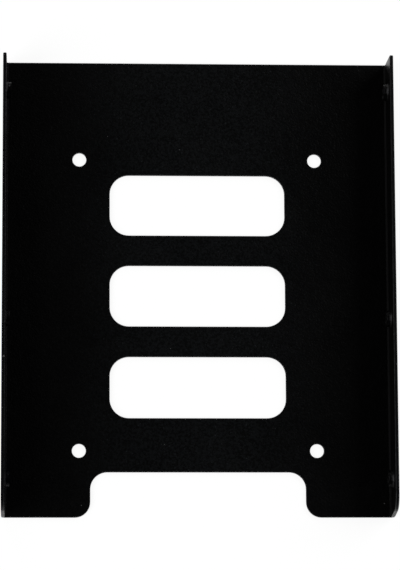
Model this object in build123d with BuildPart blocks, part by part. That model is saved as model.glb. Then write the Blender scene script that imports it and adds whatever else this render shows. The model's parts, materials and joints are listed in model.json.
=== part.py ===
"""Drive bay adapter bracket: one folded steel sheet that holds a 2.5 inch drive in a 3.5 inch bay.

The sheet lies on its floor with the flanges up. X runs across, Y from the notched near end to the plain far
end, and Z up from the underside. The origin is under the middle of the sheet. All sizes are in millimetres.
"""

from build123d import *
import os

os.makedirs("parts", exist_ok=True)

# Folded sheet
bay_width = 101.6
flange_height = 12.7
sheet = 0.9
inner_bend_radius = 0.4
edge_break = 0.15

# Row of side holes in each flange, which sets the length of the sheet
side_hole_span = 101.6
side_hole_middle = 41.6
side_hole_height = 6.35
near_margin = 9.5
far_margin = 8.7

# Collars drawn inward round the side holes, with the bore that the thread is cut in
side_bore_diameter = 3.5
collar_wall = 0.4
collar_height = 1.2
collar_root_bevel = 0.3
collar_entry_radius = 0.4

# Flange ends
near_end_lean = 1.5
near_end_corner_radius = 4.5
near_end_foot_rise = 1.4
near_end_foot_radius = 10.0
far_end_corner_radius = 0.4

# Screw holes for the small drive
drive_hole_spacing_x = 61.72
drive_hole_spacing_y = 76.6
drive_hole_diameter = 3.6
drive_hole_setback = 17.25

# Windows in the floor
window_width = 45.8
window_length = 16.0
window_corner_radius = 5.0
window_pitch = 24.0
window_count = 3
window_row_setback = 57.75

# Notch for the drive's plug
notch_width = 55.8
notch_depth = 11.7
notch_inner_radius = 4.4
notch_outer_radius = 4.0

# Angle in degrees under which two faces count as one smooth run
smooth_angle = 1.0

# Places worked out from the sizes
length = near_margin + side_hole_span + far_margin
near_edge = -length / 2
far_edge = length / 2
half_width = bay_width / 2
inner_face = half_width - sheet
near_end_foot = sheet + inner_bend_radius + near_end_foot_rise
drive_row_middle = near_edge + drive_hole_setback + drive_hole_spacing_y / 2
window_row_middle = near_edge + window_row_setback
first_side_hole = near_edge + near_margin
side_hole_rows = [first_side_hole, first_side_hole + side_hole_middle, first_side_hole + side_hole_span]
side_hole_points = [(row, side_hole_height) for row in side_hole_rows]


def is_sharp(edge):
    """True where the two faces along an edge of the bracket meet at an angle."""
    beside = bracket.faces().filter_by(lambda face: edge in face.edges())
    normals = [face.normal_at(edge @ 0.5) for face in beside]
    return len(normals) == 2 and normals[0].get_angle(normals[1]) > smooth_angle


def rings_at(reach):
    """The round edges of the side holes that lie at this reach from the middle of the bracket."""
    rings = bracket.edges().filter_by(GeomType.CIRCLE).filter_by(lambda edge: edge.is_closed)
    return rings.filter_by(lambda edge: abs(abs(edge.arc_center.X) - reach) < edge_break / 2)


with BuildPart() as bracket:
    # Folded section, run along the whole length
    with BuildSketch(Plane.XZ) as section:
        with BuildLine() as fold_line:
            FilletPolyline(
                (-half_width + sheet / 2, flange_height),
                (-half_width + sheet / 2, sheet / 2),
                (half_width - sheet / 2, sheet / 2),
                (half_width - sheet / 2, flange_height),
                radius=inner_bend_radius + sheet / 2,
            )
        trace(line_width=sheet)
    extrude(amount=length / 2, both=True)

    # Side outline, with the near ends of the flanges leaning back to a round corner
    with BuildSketch(Plane.YZ) as side_outline:
        with BuildLine() as side_edge:
            Polyline(
                (near_edge, 0),
                (far_edge, 0),
                (far_edge, flange_height),
                (near_edge + near_end_lean, flange_height),
                (near_edge, near_end_foot),
                close=True,
            )
        make_face()
        fillet(side_outline.vertices().group_by(Axis.Y)[-1].sort_by(Axis.X)[-1], radius=far_end_corner_radius)
        fillet(side_outline.vertices().group_by(Axis.Y)[-1].sort_by(Axis.X)[0], radius=near_end_corner_radius)
        fillet(side_outline.vertices().group_by(Axis.X)[0].sort_by(Axis.Y)[-1], radius=near_end_foot_radius)
    extrude(amount=half_width, both=True, mode=Mode.INTERSECT)

    # Plan outline, with the notch, the windows and the screw holes
    with BuildSketch() as plan_outline:
        Rectangle(bay_width, length)
        with Locations((0, near_edge + notch_depth / 2)):
            Rectangle(notch_width, notch_depth, mode=Mode.SUBTRACT)
        fillet(plan_outline.vertices().group_by(Axis.Y)[1], radius=notch_inner_radius)
        fillet(plan_outline.vertices().group_by(Axis.Y)[0].sort_by(Axis.X)[1:3], radius=notch_outer_radius)
        with Locations((0, window_row_middle)):
            with GridLocations(0, window_pitch, 1, window_count):
                RectangleRounded(window_width, window_length, window_corner_radius, mode=Mode.SUBTRACT)
        with Locations((0, drive_row_middle)):
            with GridLocations(drive_hole_spacing_x, drive_hole_spacing_y, 2, 2):
                Circle(drive_hole_diameter / 2, mode=Mode.SUBTRACT)
    extrude(amount=flange_height, mode=Mode.INTERSECT)

    # Every edge of the cut sheet is broken
    chamfer(bracket.edges().filter_by(is_sharp), length=edge_break)

    # Collars on the inner faces of both flanges, bored through and rounded where the sheet is drawn in
    with BuildSketch(Plane.YZ.offset(inner_face - collar_height), Plane.YZ.offset(-inner_face)) as collars:
        with Locations(side_hole_points):
            Circle(side_bore_diameter / 2 + collar_wall)
    extrude(amount=collar_height)
    with BuildSketch(Plane.YZ) as side_bores:
        with Locations(side_hole_points):
            Circle(side_bore_diameter / 2)
    extrude(amount=half_width, both=True, mode=Mode.SUBTRACT)
    chamfer(rings_at(inner_face), length=collar_root_bevel)
    fillet(rings_at(half_width), radius=collar_entry_radius)

bracket.part.label = "bracket"
export_step(bracket.part, "parts/bracket.step")
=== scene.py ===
import json
import math
from functools import reduce

import bmesh
import bpy
from bpy.props import FloatProperty, FloatVectorProperty, IntProperty, PointerProperty
from mathutils import Euler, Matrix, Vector


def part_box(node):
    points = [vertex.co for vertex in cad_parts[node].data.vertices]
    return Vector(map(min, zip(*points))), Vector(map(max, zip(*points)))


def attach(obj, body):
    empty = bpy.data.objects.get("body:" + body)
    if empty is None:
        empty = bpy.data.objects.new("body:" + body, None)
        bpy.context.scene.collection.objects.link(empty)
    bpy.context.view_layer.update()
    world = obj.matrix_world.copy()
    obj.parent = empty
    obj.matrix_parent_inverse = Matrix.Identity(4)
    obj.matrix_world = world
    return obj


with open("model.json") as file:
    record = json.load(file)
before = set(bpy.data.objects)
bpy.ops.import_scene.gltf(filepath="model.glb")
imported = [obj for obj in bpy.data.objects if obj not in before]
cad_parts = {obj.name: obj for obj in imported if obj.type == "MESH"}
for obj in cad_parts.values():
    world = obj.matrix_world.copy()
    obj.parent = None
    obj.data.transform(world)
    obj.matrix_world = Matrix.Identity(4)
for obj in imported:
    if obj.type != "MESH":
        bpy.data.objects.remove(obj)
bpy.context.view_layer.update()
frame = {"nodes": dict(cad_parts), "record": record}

bl_info = {
    "name": "Drive bay adapter bracket",
    "version": (1, 0, 0),
    "blender": (4, 5, 0),
    "location": "View3D > Sidebar > Bracket",
    "description": "Coats the folded bracket, threads its side holes and sets up its picture",
    "category": "Object",
}

MM = 0.001
SIDE_HOLE_PATTERNS = ("left_holes_outer", "left_holes_near", "right_holes_outer", "right_holes_near")
CREST = "crest"

# Sizes of the solid bracket that the frame gives
mounts = {mount["name"]: mount for mount in frame["record"]["mounts"]}
half_width, half_length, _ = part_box("bracket")[1]
sheet = mounts["drive_holes"]["pos_m"][2]
side_hole_height = mounts["left_holes_outer"]["pos_m"][2]
bore_radius = mounts["left_holes_outer"]["dims"]["hole_r_mm"] * MM

# Sizes of the solid bracket that the frame doesn't give
BEND_RADIUS = 1.3 * MM
COLLAR_WALL = 0.4 * MM
COLLAR_FOOT = 0.35 * MM
COLLAR_HEIGHT = 1.2 * MM

# Width over which one finish goes over into the next
SOFT = 0.2 * MM

# Share of the sheet's thickness from which a face counts as inside the fold, and share of the strip of
# painted shade beside a flange where it is darkest
INSIDE_START = 0.7
DARKEST_SHARE = 0.28

# Dull coat along the inside of the bends: how much rougher it is, and how far it goes up the flanges
BEND_DULLNESS = 0.6
BEND_LINE_RISE = 1.2 * MM

# Grain of the coat: the size of each layer, its height and its share of the tone
PEBBLE_BLUR = 0.5
DUST_SIZE = 1.1
SWELL_SIZE = 2.6 * MM
CLOUD_SIZE = 22 * MM
PATCH_SIZE = 1.8 * MM
DUST_HEIGHT = 1.2
SWELL_HEIGHT = 2.0
PEBBLE_TONE = 0.20
DUST_TONE = 0.55
OWN_TONE = 0.15
CLOUD_TONE = 0.10

# Strength of the coat's colour in its hollows, on its tops, in its painted highlights on a few pebbles and
# on the threads
HOLLOW_STRENGTH = 0.0
TOP_STRENGTH = 2.0
PAINTED_GLINT_STRENGTH = 4.0
THREAD_STRENGTH = 1.5

# Change of roughness by the clouds, the pebbles and the wear and painted highlights of the coat, and on the
# threads by the bare steel and the scratches
CLOUD_DULLNESS = 0.12
PEBBLE_POLISH = 0.10
WEAR_AND_HIGHLIGHT_POLISH = 0.15
BARE_POLISH = 0.16
SCRATCH_DULLNESS = 0.10

# Share of its full size that the ridge of a thread has at its two ends, and the least share of bare steel
# on its crest
RIDGE_END = 0.05
LEAST_BARE = 0.35

# Sides of the round table top
TABLE_SIDES = 96

# Middle of a pattern that goes from 0 to 1, and the spans over which a pattern is stretched to do so
MIDDLE = 0.5
PEBBLE_TOPS = (0.40, 0.80)
DUST_LUMPS = (0.36, 0.64)
PATCH_LUMPS = (0.35, 0.65)
PAINTED_GLINT_PEBBLES = (0.97, 0.99)
PAINTED_GLINT_TOPS = (0.55, 0.75)
SCRATCH_LUMPS = (0.35, 0.60)
BARE_CREST = (0.35, 0.95)
SPOT_EDGE = (0.50, 0.25)

# Lean of the normal of an edge that is broken at 45 degrees
EDGE_LEAN = math.sqrt(0.5)
EDGE_LEAN_SPREAD = 0.15

# Wear and painted highlight on the collars, lightest on their tops where light from above falls: the cosine
# of the angle from the top over which it grows, the shares of the collar's height where it is least and
# where that of the tip is full, its share at the tip, the share that the collars on the left have of it,
# and the least share that a patch leaves
HIGHLIT_CROWN = (0.90, 1.0)
LEAST_MARKED = 0.7
TIP_FULL = 0.9
TIP_SHARE = 0.45
LEFT_COLLAR_SHARE = 0.18
COLLAR_PATCH_SHARE = 0.7

# Wear and painted highlight on the edges: its share in the middle of the rims' length, how much the painted
# highlight grows from there towards the far end on the left and the near end on the right, and the least
# share that a patch leaves
RIM_WEAR_AND_HIGHLIGHT = 0.50
RIM_HIGHLIGHT_SLANT = 0.30
EDGE_PATCH_SHARE = 0.35

# Small light spots on the coat, as the X, Y and Z of the middle and the width, in millimetres: the last two
# are on the left rim and on the far left collar, and the one on the collar is a painted highlight
LIGHT_SPOTS = (
    (48.2, -56.3, 0.9, 0.34),
    (-30.2, -56.8, 0.9, 0.28),
    (-8.7, -41.0, 0.9, 0.22),
    (-7.1, -16.0, 0.9, 0.26),
    (-4.6, 36.8, 0.9, 0.24),
    (-23.5, 40.2, 0.9, 0.22),
    (-50.2, -19.6, 12.7, 0.65),
    (-49.2, 52.0, 8.35, 0.50),
)


class CoatSettings(bpy.types.PropertyGroup):
    """The powder coat on the folded sheet."""

    colour: FloatVectorProperty(
        name="Coat colour",
        description="Mean colour of the coat on the open faces",
        subtype="COLOR",
        min=0.0,
        max=1.0,
        default=(0.00155, 0.00175, 0.00194),
    )
    # Colour of the worn edges and collars, which also paints highlights on them
    wear_and_highlight_colour: FloatVectorProperty(
        name="Rubbed colour",
        description="Colour of the thin coat on the broken edges and the rubbed collars",
        subtype="COLOR",
        min=0.0,
        max=1.0,
        default=(0.024, 0.024, 0.025),
    )
    # Colour of the small light spots, one of which is a painted highlight on the far left collar
    spot_colour: FloatVectorProperty(
        name="Chip colour",
        description="Colour of the dull steel that shows in the chips",
        subtype="COLOR",
        min=0.0,
        max=1.0,
        default=(0.05, 0.05, 0.05),
    )
    grain_size: FloatProperty(
        name="Grain size",
        description="Width of one pebble of the coat",
        unit="LENGTH",
        min=0.00005,
        default=0.00050,
    )
    grain_height: FloatProperty(
        name="Grain height",
        description="Height of the pebbles over the hollows between them",
        unit="LENGTH",
        min=0.0,
        default=0.00004,
    )
    roughness: FloatProperty(
        name="Roughness",
        description="Mean roughness of the surface",
        subtype="FACTOR",
        min=0.0,
        max=1.0,
        default=0.35,
    )
    shine: FloatProperty(
        name="Shine",
        description="Strength of the reflection, where a half is that of a clear varnish",
        subtype="FACTOR",
        min=0.0,
        max=1.0,
        default=0.10,
    )
    # The darker strip along the flanges is painted shade of the flanges
    painted_shade_width: FloatProperty(
        name="Shelter width",
        description="Width of the strip inside the fold, along each flange, where the coat is darker",
        unit="LENGTH",
        min=0.001,
        default=0.042,
    )
    painted_shade_strength: FloatProperty(
        name="Shelter",
        description="How much darker the coat is along the flanges than in the middle of the floor",
        subtype="FACTOR",
        min=0.0,
        max=1.0,
        default=0.94,
    )


class ThreadSettings(bpy.types.PropertyGroup):
    """The screw threads in the side holes."""

    pitch: FloatProperty(
        name="Pitch",
        description="Distance from one turn of the thread to the next",
        unit="LENGTH",
        min=0.0002,
        default=25.4 / 32 * MM,
    )
    depth: FloatProperty(
        name="Depth",
        description="Height of the thread's ridge above the wall of the bore",
        unit="LENGTH",
        min=0.00005,
        default=0.00033,
    )
    crest_width: FloatProperty(
        name="Crest width",
        description="Width of the flat on top of the ridge",
        unit="LENGTH",
        min=0.00001,
        default=0.00018,
    )
    root_width: FloatProperty(
        name="Root width",
        description="Width of the ridge where it stands on the wall of the bore",
        unit="LENGTH",
        min=0.00005,
        default=0.00068,
    )
    plain_mouth: FloatProperty(
        name="Plain mouth",
        description="Length of the rounded mouth, which has no thread",
        unit="LENGTH",
        min=0.0,
        default=0.00045,
    )
    plain_tip: FloatProperty(
        name="Plain tip",
        description="Length at the tip of the collar that has no thread",
        unit="LENGTH",
        min=0.0,
        default=0.00008,
    )
    run_out: FloatProperty(
        name="Run-out",
        description="Share of the thread over which the ridge fades at each end",
        subtype="FACTOR",
        min=0.01,
        max=0.5,
        default=0.24,
    )
    points_per_turn: IntProperty(
        name="Points per turn",
        description="Steps in one turn of the ridge",
        min=12,
        default=48,
    )
    steel_colour: FloatVectorProperty(
        name="Steel colour",
        description="Colour of the steel that shows on the crest of the thread",
        subtype="COLOR",
        min=0.0,
        max=1.0,
        default=(0.30, 0.29, 0.28),
    )
    roughness: FloatProperty(
        name="Roughness",
        description="Roughness of the coated flanks of the thread",
        subtype="FACTOR",
        min=0.0,
        max=1.0,
        default=0.48,
    )
    scratch_size: FloatProperty(
        name="Scratch size",
        description="Width of the scratches on the crest",
        unit="LENGTH",
        min=0.00001,
        default=0.00012,
    )
    scratch_depth: FloatProperty(
        name="Scratch depth",
        description="Depth of the scratches on the crest",
        unit="LENGTH",
        min=0.0,
        default=0.000006,
    )


class StageSettings(bpy.types.PropertyGroup):
    """The table, the light and the camera of the picture."""

    floor_colour: FloatVectorProperty(
        name="Floor colour",
        description="Colour of the table",
        subtype="COLOR",
        min=0.0,
        max=1.0,
        default=(0.97, 0.97, 0.97),
    )
    floor_radius: FloatProperty(
        name="Floor radius",
        description="Radius of the round table top",
        unit="LENGTH",
        min=0.5,
        default=4.0,
    )
    floor_gap: FloatProperty(
        name="Floor gap",
        description="Gap between the table and the underside of the bracket",
        unit="LENGTH",
        min=0.0,
        default=0.00002,
    )
    floor_white: FloatProperty(
        name="Floor white",
        description="Share of plain white in what the camera sees of the table",
        subtype="FACTOR",
        min=0.0,
        max=1.0,
        default=0.90,
    )
    wall_colour: FloatVectorProperty(
        name="Wall colour",
        description="Light of the pale walls of the studio",
        subtype="COLOR",
        min=0.0,
        max=1.0,
        default=(0.24, 0.25, 0.27),
    )
    wall_top: FloatProperty(
        name="Wall top",
        description="Sine of the height above the horizon where the walls start to darken",
        subtype="FACTOR",
        min=0.0,
        max=1.0,
        default=0.25,
    )
    ceiling_colour: FloatVectorProperty(
        name="Ceiling colour",
        description="Light of the dark ceiling of the studio",
        subtype="COLOR",
        min=0.0,
        max=1.0,
        default=(0.02, 0.02, 0.02),
    )
    ceiling_edge: FloatProperty(
        name="Ceiling edge",
        description="Sine of the height above the horizon where the ceiling starts",
        subtype="FACTOR",
        min=0.0,
        max=1.0,
        default=0.75,
    )
    side_lamp_place: FloatVectorProperty(
        name="Side lamp place",
        description="Place of the right lamp and, turned half round, of the left one",
        subtype="TRANSLATION",
        default=(0.92, 0.47, 0.72),
    )
    side_lamp_size: FloatProperty(
        name="Side lamp size",
        description="Width of the soft lamps on the left and on the right",
        unit="LENGTH",
        min=0.01,
        default=0.75,
    )
    left_lamp_power: FloatProperty(
        name="Left lamp power",
        description="Power of the soft lamp on the left",
        unit="POWER",
        min=0.0,
        default=15.0,
    )
    right_lamp_power: FloatProperty(
        name="Right lamp power",
        description="Power of the soft lamp on the right",
        unit="POWER",
        min=0.0,
        default=12.3,
    )
    back_lamp_place: FloatVectorProperty(
        name="Back lamp place",
        description="Place of the soft lamp beyond the far end",
        subtype="TRANSLATION",
        default=(-0.40, 1.15, 0.60),
    )
    back_lamp_size: FloatProperty(
        name="Back lamp size",
        description="Width of the soft lamp beyond the far end",
        unit="LENGTH",
        min=0.01,
        default=0.60,
    )
    back_lamp_power: FloatProperty(
        name="Back lamp power",
        description="Power of the soft lamp beyond the far end",
        unit="POWER",
        min=0.0,
        default=5.0,
    )
    lens: FloatProperty(
        name="Lens",
        description="Focal length of the camera",
        subtype="DISTANCE_CAMERA",
        min=1.0,
        default=193.61,
    )
    camera_distance: FloatProperty(
        name="Camera distance",
        description="Distance from the camera to the table",
        unit="LENGTH",
        min=0.1,
        default=0.80089,
    )
    camera_aim: FloatVectorProperty(
        name="Camera aim",
        description="Point on the table in the middle of the picture",
        subtype="TRANSLATION",
        default=(0.000706, 0.000942, 0.0),
    )
    camera_lean: FloatVectorProperty(
        name="Camera lean",
        description="Lean of the camera off the plumb line, to the near side and to the left, and its roll",
        subtype="EULER",
        default=(0.1583, -0.0513, 0.0037),
    )


class Shade:
    """An output in a node tree: arithmetic with shades adds Math nodes, and node() adds any other."""

    def __init__(self, tree, socket=None):
        self.tree = tree
        self.socket = socket

    def node(self, kind, settings=None, sockets=None, output=0):
        """Adds a node, makes its settings, fills or links its sockets, and wraps one of its outputs."""
        made = self.tree.nodes.new(kind)
        for name, value in (settings or {}).items():
            setattr(made, name, value)
        for name, value in (sockets or {}).items():
            if isinstance(value, Shade):
                self.tree.links.new(value.socket, made.inputs[name])
            else:
                made.inputs[name].default_value = value
        return Shade(self.tree, made.outputs[output] if made.outputs else None)

    def math(self, operation, *values):
        return self.node("ShaderNodeMath", {"operation": operation}, dict(enumerate(values)))

    def __add__(self, other):
        return self.math("ADD", self, other)

    __radd__ = __add__

    def __sub__(self, other):
        return self.math("SUBTRACT", self, other)

    def __rsub__(self, other):
        return self.math("SUBTRACT", other, self)

    def __mul__(self, other):
        return self.math("MULTIPLY", self, other)

    __rmul__ = __mul__

    def __truediv__(self, other):
        return self.math("DIVIDE", self, other)

    def __abs__(self):
        return self.math("ABSOLUTE", self)

    def least(self, other):
        return self.math("MINIMUM", self, other)

    def most(self, other):
        return self.math("MAXIMUM", self, other)

    def parts(self):
        """The X, the Y and the Z of a vector."""
        apart = self.node("ShaderNodeSeparateXYZ", None, {0: self})
        return [Shade(self.tree, part) for part in apart.socket.node.outputs]

    def rise(self, start, end):
        """0 where this shade is at start, 1 where it is at end, and a smooth rise between them."""
        sockets = {"Value": self, "From Min": start, "From Max": end}
        return self.node("ShaderNodeMapRange", {"interpolation_type": "SMOOTHSTEP"}, sockets)

    def at_least(self, low):
        """Lifts a shade that goes from 0 to 1, so that it goes from low to 1."""
        return low + (1 - low) * self

    def blend(self, low, high):
        """The colour that goes from low, where this shade is 0, to high, where it is 1."""
        sockets = {"Factor": self, 6: low, 7: high}
        return self.node("ShaderNodeMix", {"data_type": "RGBA"}, sockets, 2)


def with_alpha(colour, strength=1.0):
    """A property's colour, made lighter or darker by a strength, as a colour socket takes it."""
    return (*(strength * channel for channel in colour), 1.0)


def noise(place, size, detail):
    """Soft random noise from 0 to 1, with lumps of this size."""
    sockets = {"Vector": place, "Scale": 1 / size, "Detail": detail}
    return place.node("ShaderNodeTexNoise", None, sockets, "Fac")


def new_material(name):
    """An empty material and the start of its node tree."""
    material = bpy.data.materials.new(name)
    material.use_nodes = True
    material.node_tree.nodes.clear()
    return material, Shade(material.node_tree)


def end_in_principled(start, surface):
    """Ends a material's node tree in a Principled shader with these sockets."""
    shader = start.node("ShaderNodeBsdfPrincipled", None, surface)
    start.node("ShaderNodeOutputMaterial", None, {"Surface": shader})


def coat_grain(place, coat):
    """Pebbles of melted powder with dust between them: height, tone, painted highlights on a few pebble
    tops and change of roughness.
    """
    cells = {"Vector": place, "Scale": 1 / coat.grain_size}
    soft_cells = {**cells, "Smoothness": PEBBLE_BLUR}
    pebbles = 1 - place.node("ShaderNodeTexVoronoi", {"feature": "SMOOTH_F1"}, soft_cells, "Distance")
    own_colour = place.node("ShaderNodeTexVoronoi", {"feature": "F1"}, cells, "Color")
    own_tone = place.node("ShaderNodeSeparateColor", None, {0: own_colour}, "Red")
    dust = noise(place, DUST_SIZE * coat.grain_size, detail=2.0)
    swell = noise(place, SWELL_SIZE, detail=1.0)
    cloud = noise(place, CLOUD_SIZE, detail=3.0)
    height = pebbles + DUST_HEIGHT * dust + SWELL_HEIGHT * swell
    tone = PEBBLE_TONE * pebbles.rise(*PEBBLE_TOPS) + DUST_TONE * dust.rise(*DUST_LUMPS)
    tone = tone + OWN_TONE * own_tone + CLOUD_TONE * cloud
    # Painted highlight: a few pebble tops get a much lighter colour that stands in for sparkles of
    # reflected light
    painted_glint = own_tone.rise(*PAINTED_GLINT_PEBBLES) * pebbles.rise(*PAINTED_GLINT_TOPS)
    dullness = CLOUD_DULLNESS * (cloud - MIDDLE) + PEBBLE_POLISH * (MIDDLE - pebbles)
    return height, tone, painted_glint, dullness


def broken_edges(across, along, up, facing):
    """Wear and painted highlight on the edges broken at 45 degrees: 0 on the faces of the sheet and its two
    bends.
    """
    reach = abs(across)
    lean_x, _, lean_z = facing.parts()
    lean_x, lean_z = abs(lean_x), abs(lean_z)
    bend_start = half_width - BEND_RADIUS
    on_floor = reach.rise(bend_start, bend_start - SOFT)
    on_flange = up.rise(BEND_RADIUS, BEND_RADIUS + SOFT)
    floor_edges = lean_z.math("COMPARE", lean_z, EDGE_LEAN, EDGE_LEAN_SPREAD) * on_floor
    flange_edges = lean_x.math("COMPARE", lean_x, EDGE_LEAN, EDGE_LEAN_SPREAD) * on_flange
    # Painted light: the edge marks grow along the rims towards the far end on the left and the near end on
    # the right
    rim_wear_and_highlight = RIM_WEAR_AND_HIGHLIGHT - RIM_HIGHLIGHT_SLANT / (half_width * half_length) * across * along
    return floor_edges + rim_wear_and_highlight * flange_edges


def collar_wear_and_highlight(across, along, up, patches):
    """The collars of the side holes, and the wear and painted highlight on the upper side of each."""
    rows = sorted({y for x, y, z in side_hole_tips()})
    from_row = reduce(Shade.least, [abs(along - row) for row in rows])
    above = up - side_hole_height
    from_axis = above.math("SQRT", from_row * from_row + above * above)
    depth = half_width - abs(across)
    foot = bore_radius + COLLAR_WALL + COLLAR_FOOT
    collars = from_axis.rise(foot + SOFT, foot) * depth.rise(sheet - SOFT / 2, sheet + SOFT / 4)
    # Painted highlight: the mark is lightest on the tops of the collars, where light from above falls
    crown = (above / from_axis).rise(*HIGHLIT_CROWN)
    least_marked = sheet + LEAST_MARKED * COLLAR_HEIGHT
    near_flange = depth.rise(least_marked, sheet + SOFT)
    near_tip = depth.rise(least_marked, sheet + TIP_FULL * COLLAR_HEIGHT)
    to_right = across.rise(-half_width, half_width).at_least(LEFT_COLLAR_SHARE)
    wear = near_flange.most(TIP_SHARE * near_tip) * to_right
    return collars, collars * crown * wear * patches.at_least(COLLAR_PATCH_SHARE)


def light_spots(place):
    """1 on the few small light spots on the coat, one of which, on the far left collar, is a painted
    highlight.
    """
    distances = []
    for *middle, width in LIGHT_SPOTS:
        ends = {0: place, 1: Vector(middle) * MM}
        distance = place.node("ShaderNodeVectorMath", {"operation": "DISTANCE"}, ends, "Value")
        distances.append(distance / (width * MM))
    return reduce(Shade.least, distances).rise(*SPOT_EDGE)


def inside_fold(reach, up):
    """1 on the faces of the sheet that look into the fold, and 0 on its underside and outer faces."""
    within_sheet = INSIDE_START * sheet
    return up.rise(within_sheet, sheet) * (half_width - reach).rise(within_sheet, sheet)


def painted_shade_strips(reach, coat):
    """Painted shade of the flanges: 1 on the flanges and close to them, and 0 in the middle of the floor.
    """
    darkest = half_width - DARKEST_SHARE * coat.painted_shade_width
    return reach.rise(half_width - coat.painted_shade_width, darkest)


def bend_lines(reach, up):
    """1 on the two bends of the sheet, fading out at the feet of the flanges."""
    bend_start = half_width - BEND_RADIUS
    return reach.rise(bend_start, bend_start + SOFT) * up.rise(BEND_RADIUS + BEND_LINE_RISE, BEND_RADIUS)


def make_black_coat(coat):
    """Fine-grained black powder coat, with painted shade along the flanges, painted highlights on a few
    pebbles, wear and painted highlights on the broken edges and the collars, and a few small light spots.
    """
    material, start = new_material("black_powder_coat")
    place = start.node("ShaderNodeTexCoord", output="Object")
    facing = start.node("ShaderNodeNewGeometry", output="True Normal")
    across, along, up = place.parts()
    reach = abs(across)
    inside = inside_fold(reach, up)
    patches = noise(place, PATCH_SIZE, detail=3.0).rise(*PATCH_LUMPS)
    bends = inside * bend_lines(reach, up)
    worn_and_highlit_edges = broken_edges(across, along, up, facing) * patches.at_least(EDGE_PATCH_SHARE)
    collars, worn_and_highlit_collars = collar_wear_and_highlight(across, along, up, patches)
    # The lighter colour on the edges and collars is partly wear and partly painted highlight
    rubbed = worn_and_highlit_collars.most(worn_and_highlit_edges * (1 - collars))

    height, tone, painted_glint, dullness = coat_grain(place, coat)
    # Painted shade: this factor darkens the coat inside the fold along the flanges, where the flanges shade
    # the floor
    powder = 1 - coat.painted_shade_strength * inside * painted_shade_strips(reach, coat)
    hollows = with_alpha(coat.colour, HOLLOW_STRENGTH)
    colour = (powder * tone).blend(hollows, with_alpha(coat.colour, TOP_STRENGTH))
    # Painted highlights on a few pebble tops
    colour = (powder * painted_glint).blend(colour, with_alpha(coat.colour, PAINTED_GLINT_STRENGTH))
    colour = rubbed.blend(colour, with_alpha(coat.wear_and_highlight_colour))
    # Small light spots, one of them a painted highlight on the far left collar
    colour = light_spots(place).blend(colour, with_alpha(coat.spot_colour))
    relief = {"Distance": coat.grain_height, "Height": height}
    surface = {
        "Base Color": colour,
        "Roughness": coat.roughness + dullness + BEND_DULLNESS * bends - WEAR_AND_HIGHLIGHT_POLISH * rubbed,
        "Specular IOR Level": coat.shine,
        "Normal": start.node("ShaderNodeBump", None, relief),
    }
    end_in_principled(start, surface)
    return material


def make_thread_steel(coat, thread):
    """Dark thread whose crest the screws have rubbed down to the steel."""
    material, start = new_material("rubbed_thread_steel")
    place = start.node("ShaderNodeTexCoord", output="Object")
    crest = start.node("ShaderNodeAttribute", {"attribute_name": CREST}, None, "Fac")
    scratches = noise(place, thread.scratch_size, detail=3.0)
    bare = crest.rise(*BARE_CREST) * scratches.rise(*SCRATCH_LUMPS).at_least(LEAST_BARE)
    coated = with_alpha(coat.colour, THREAD_STRENGTH)
    scratch_dullness = SCRATCH_DULLNESS * (scratches - MIDDLE)
    relief = {"Distance": thread.scratch_depth, "Height": scratches}
    surface = {
        "Base Color": bare.blend(coated, with_alpha(thread.steel_colour)),
        "Metallic": bare,
        "Roughness": thread.roughness - BARE_POLISH * bare + scratch_dullness,
        "Specular IOR Level": coat.shine,
        "Normal": start.node("ShaderNodeBump", None, relief),
    }
    end_in_principled(start, surface)
    return material


def make_white_table(stage):
    """White table that keeps the bracket's shadow, and that is clear when it is seen from below."""
    material, start = new_material("white_table")
    matt = start.node("ShaderNodeBsdfDiffuse", None, {"Color": with_alpha(stage.floor_colour)})
    white = start.node("ShaderNodeEmission", None, {"Color": (1.0, 1.0, 1.0, 1.0), "Strength": 1.0})
    rays = ("Is Camera Ray", "Is Glossy Ray", "Is Transmission Ray")
    camera, glossy, clear_ray = (start.node("ShaderNodeLightPath", output=ray) for ray in rays)
    seen = camera.most(glossy.most(clear_ray))
    top = start.node("ShaderNodeMixShader", None, {0: stage.floor_white * seen, 1: matt, 2: white})
    below = start.node("ShaderNodeNewGeometry", output="Backfacing")
    clear = start.node("ShaderNodeBsdfTransparent")
    shader = start.node("ShaderNodeMixShader", None, {0: below, 1: top, 2: clear})
    start.node("ShaderNodeOutputMaterial", None, {"Surface": shader})
    return material


def side_hole_tips():
    """The middles of the side holes at the tips of their collars, from the bolt patterns of the frame."""
    tips = set()
    for name in SIDE_HOLE_PATTERNS:
        face_x, middle_y, height = mounts[name]["pos_m"]
        half_span = mounts[name]["dims"]["spacing_x_mm"] / 2 * MM
        tip_x = face_x - mounts[name]["axis"][0] * (sheet + COLLAR_HEIGHT)
        for row in (middle_y - half_span, middle_y + half_span):
            tips.add((round(tip_x, 6), round(row, 6), round(height, 6)))
    return sorted(tips)


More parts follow.
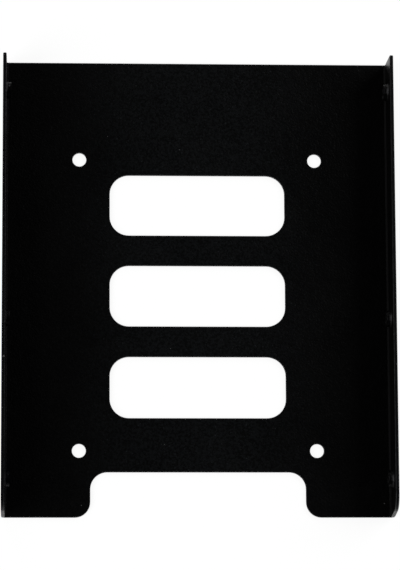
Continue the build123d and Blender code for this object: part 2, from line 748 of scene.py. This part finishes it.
def thread_tree(material):
    """A node tree that sets a right-handed thread on each vertex, along X and away from the middle."""
    tree = bpy.data.node_groups.new("side_hole_threads", "GeometryNodeTree")
    socket = tree.interface.new_socket
    socket("Hole Tips", in_out="INPUT", socket_type="NodeSocketGeometry")
    sizes = ("Bore Radius", "Pitch", "Depth", "Crest Width", "Root Width", "Start", "Length", "Run-out")
    for name in sizes:
        socket(name, in_out="INPUT", socket_type="NodeSocketFloat")
    socket("Points per Turn", in_out="INPUT", socket_type="NodeSocketInt")
    socket("Threads", in_out="OUTPUT", socket_type="NodeSocketGeometry")
    start = Shade(tree)
    given = tree.nodes.new("NodeGroupInput").outputs
    size = {output.name: Shade(tree, output) for output in given if output.name}

    # The ridge follows a helix on the wall of the bore
    helix = {
        "Resolution": size["Points per Turn"],
        "Rotations": size["Length"] / size["Pitch"],
        "Start Radius": size["Bore Radius"],
        "End Radius": size["Bore Radius"],
        "Height": size["Length"],
        "Reverse": True,
    }
    path = start.node("GeometryNodeCurveSpiral", None, helix)
    path = start.node("GeometryNodeSetCurveNormal", {"mode": "Z_UP"}, {"Curve": path})
    flanks = {
        "Height": size["Depth"],
        "Bottom Width": size["Root Width"],
        "Top Width": size["Crest Width"],
        "Offset": 0.0,
    }
    profile = start.node("GeometryNodeCurvePrimitiveQuadrilateral", {"mode": "TRAPEZOID"}, flanks)
    inward = start.node("ShaderNodeCombineXYZ", None, {"X": -0.5 * size["Depth"]})
    quarter_turn = (0.0, 0.0, math.pi / 2)
    placed = {"Geometry": profile, "Translation": inward, "Rotation": quarter_turn}
    profile = start.node("GeometryNodeTransform", None, placed)

    # It fades into the wall at both ends
    share = start.node("GeometryNodeSplineParameter", output="Factor")
    nearest_end = share.least(1 - share)
    fade = nearest_end.rise(0.0, size["Run-out"]).at_least(RIDGE_END)
    swept = {"Curve": path, "Profile Curve": profile, "Scale": fade, "Fill Caps": True}
    ridge = start.node("GeometryNodeCurveToMesh", None, swept)

    # The crest is marked for the material
    spot = start.node("GeometryNodeInputPosition")
    flat_spot = start.node("ShaderNodeVectorMath", {"operation": "MULTIPLY"}, {0: spot, 1: (1.0, 1.0, 0.0)})
    radius = start.node("ShaderNodeVectorMath", {"operation": "LENGTH"}, {0: flat_spot}, "Value")
    crest = (size["Bore Radius"] - radius) / size["Depth"]
    marked = {"Geometry": ridge, "Name": CREST, "Value": crest}
    ridge = start.node("GeometryNodeStoreNamedAttribute", None, marked)
    lifted = start.node("ShaderNodeCombineXYZ", None, {"Z": size["Start"]})
    ridge = start.node("GeometryNodeTransform", None, {"Geometry": ridge, "Translation": lifted})

    outward = start.node("ShaderNodeVectorMath", {"operation": "MULTIPLY"}, {0: spot, 1: (1.0, 0.0, 0.0)})
    turn = start.node("FunctionNodeAlignRotationToVector", {"axis": "Z"}, {"Vector": outward})
    set_down = {"Points": size["Hole Tips"], "Instance": ridge, "Rotation": turn}
    threads = start.node("GeometryNodeInstanceOnPoints", None, set_down)
    threads = start.node("GeometryNodeRealizeInstances", None, {"Geometry": threads})
    threads = start.node("GeometryNodeSetMaterial", None, {"Geometry": threads, "Material": material})
    start.node("NodeGroupOutput", None, {"Threads": threads})
    return tree


def new_object(name, mesh):
    """A new object at the origin, linked to the scene."""
    made = bpy.data.objects.new(name, mesh)
    bpy.context.scene.collection.objects.link(made)
    return made


def as_plain_mesh(piece):
    """Turns what a piece's Geometry Nodes make into its own mesh, and removes the modifier."""
    graph = bpy.context.evaluated_depsgraph_get()
    mesh = bpy.data.meshes.new_from_object(piece.evaluated_get(graph))
    piece.modifiers.clear()
    piece.data = mesh


class BRACKET_OT_coat_sheet(bpy.types.Operator):
    """Give the folded sheet its black powder coat"""

    bl_idname = "bracket.coat_sheet"
    bl_label = "Coat the sheet"

    def execute(self, context):
        coat = make_black_coat(context.scene.bracket_coat)
        for slot in frame["nodes"]["bracket"].material_slots:
            slot.material = coat
        return {"FINISHED"}


class BRACKET_OT_cut_threads(bpy.types.Operator):
    """Cut a screw thread in each of the side holes"""

    bl_idname = "bracket.cut_threads"
    bl_label = "Cut the threads"

    def execute(self, context):
        thread = context.scene.bracket_thread
        mesh = bpy.data.meshes.new("side_hole_threads")
        mesh.from_pydata(side_hole_tips(), [], [])
        threads = new_object("side_hole_threads", mesh)
        tree = thread_tree(make_thread_steel(context.scene.bracket_coat, thread))
        sizes = {
            "Bore Radius": bore_radius,
            "Pitch": thread.pitch,
            "Depth": thread.depth,
            "Crest Width": thread.crest_width,
            "Root Width": thread.root_width,
            "Start": thread.plain_tip,
            "Length": sheet + COLLAR_HEIGHT - thread.plain_tip - thread.plain_mouth,
            "Run-out": thread.run_out,
            "Points per Turn": thread.points_per_turn,
        }
        cutter = threads.modifiers.new("threads", "NODES")
        cutter.node_group = tree
        for item in tree.interface.items_tree:
            if item.in_out == "INPUT" and item.name in sizes:
                cutter[item.identifier] = sizes[item.name]
        as_plain_mesh(threads)
        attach(threads, "root")
        return {"FINISHED"}


class BRACKET_OT_set_stage(bpy.types.Operator):
    """Set up the white table, the soft light and the camera"""

    bl_idname = "bracket.set_stage"
    bl_label = "Set the stage"

    def execute(self, context):
        stage = context.scene.bracket_stage
        x, y, z = stage.side_lamp_place
        self.lay_table(stage)
        self.paint_room(context.scene, stage)
        self.hang_lamp("left_lamp", (-x, -y, z), stage.side_lamp_size, stage.left_lamp_power)
        self.hang_lamp("right_lamp", (x, y, z), stage.side_lamp_size, stage.right_lamp_power)
        self.hang_lamp("back_lamp", stage.back_lamp_place, stage.back_lamp_size, stage.back_lamp_power)
        self.aim_camera(context.scene, stage)
        context.scene.view_settings.view_transform = "Standard"
        return {"FINISHED"}

    def lay_table(self, stage):
        """A large round table top, a hair below the bracket."""
        mesh = bpy.data.meshes.new("table_top")
        build = bmesh.new()
        bmesh.ops.create_circle(build, cap_ends=True, segments=TABLE_SIDES, radius=stage.floor_radius)
        bmesh.ops.translate(build, verts=build.verts, vec=(0.0, 0.0, -stage.floor_gap))
        build.to_mesh(mesh)
        build.free()
        mesh.materials.append(make_white_table(stage))
        new_object("table_top", mesh)

    def paint_room(self, scene, stage):
        """Pale walls that darken upwards to a dark ceiling."""
        room = bpy.data.worlds.new("studio")
        room.use_nodes = True
        room.node_tree.nodes.clear()
        start = Shade(room.node_tree)
        _, _, up = start.node("ShaderNodeTexCoord", output="Generated").parts()
        colour = up.rise(stage.wall_top, stage.ceiling_edge)
        colour = colour.blend(with_alpha(stage.wall_colour), with_alpha(stage.ceiling_colour))
        light = start.node("ShaderNodeBackground", None, {"Color": colour, "Strength": 1.0})
        start.node("ShaderNodeOutputWorld", None, {"Surface": light})
        scene.world = room

    def hang_lamp(self, name, place, width, power):
        """A square soft lamp that shines at the bracket."""
        lamp = bpy.data.lights.new(name, "AREA")
        lamp.size = width
        lamp.energy = power
        hung = new_object(name, lamp)
        hung.location = place
        hung.rotation_euler = Vector(place).to_track_quat("Z", "Y").to_euler()

    def aim_camera(self, scene, stage):
        """The camera looks almost straight down."""
        lens = bpy.data.cameras.new("camera")
        lens.lens = stage.lens
        camera = new_object("camera", lens)
        turn = Euler(stage.camera_lean, "ZYX")
        camera.rotation_mode = "ZYX"
        camera.rotation_euler = turn
        back = Vector((0.0, 0.0, stage.camera_distance))
        camera.location = Vector(stage.camera_aim) + turn.to_matrix() @ back
        scene.camera = camera


class BRACKET_PT_sidebar(bpy.types.Panel):
    """The steps of the bracket's making, with their sizes and colours"""

    bl_label = "Drive bay adapter bracket"
    bl_space_type = "VIEW_3D"
    bl_region_type = "UI"
    bl_category = "Bracket"

    def draw(self, context):
        for step, settings in STEPS:
            box = self.layout.box()
            box.operator(step.bl_idname)
            for name in SETTINGS[settings].__annotations__:
                box.prop(getattr(context.scene, settings), name)


SETTINGS = {
    "bracket_coat": CoatSettings,
    "bracket_thread": ThreadSettings,
    "bracket_stage": StageSettings,
}
STEPS = (
    (BRACKET_OT_coat_sheet, "bracket_coat"),
    (BRACKET_OT_cut_threads, "bracket_thread"),
    (BRACKET_OT_set_stage, "bracket_stage"),
)
CLASSES = (*SETTINGS.values(), *(step for step, settings in STEPS), BRACKET_PT_sidebar)


def register():
    for cls in CLASSES:
        bpy.utils.register_class(cls)
    for name, settings in SETTINGS.items():
        setattr(bpy.types.Scene, name, PointerProperty(type=settings))


def unregister():
    for name in SETTINGS:
        delattr(bpy.types.Scene, name)
    for cls in reversed(CLASSES):
        bpy.utils.unregister_class(cls)


def main():
    register()
    bpy.ops.bracket.coat_sheet()
    bpy.ops.bracket.cut_threads()
    bpy.ops.bracket.set_stage()


if __name__ == "__main__":
    main()
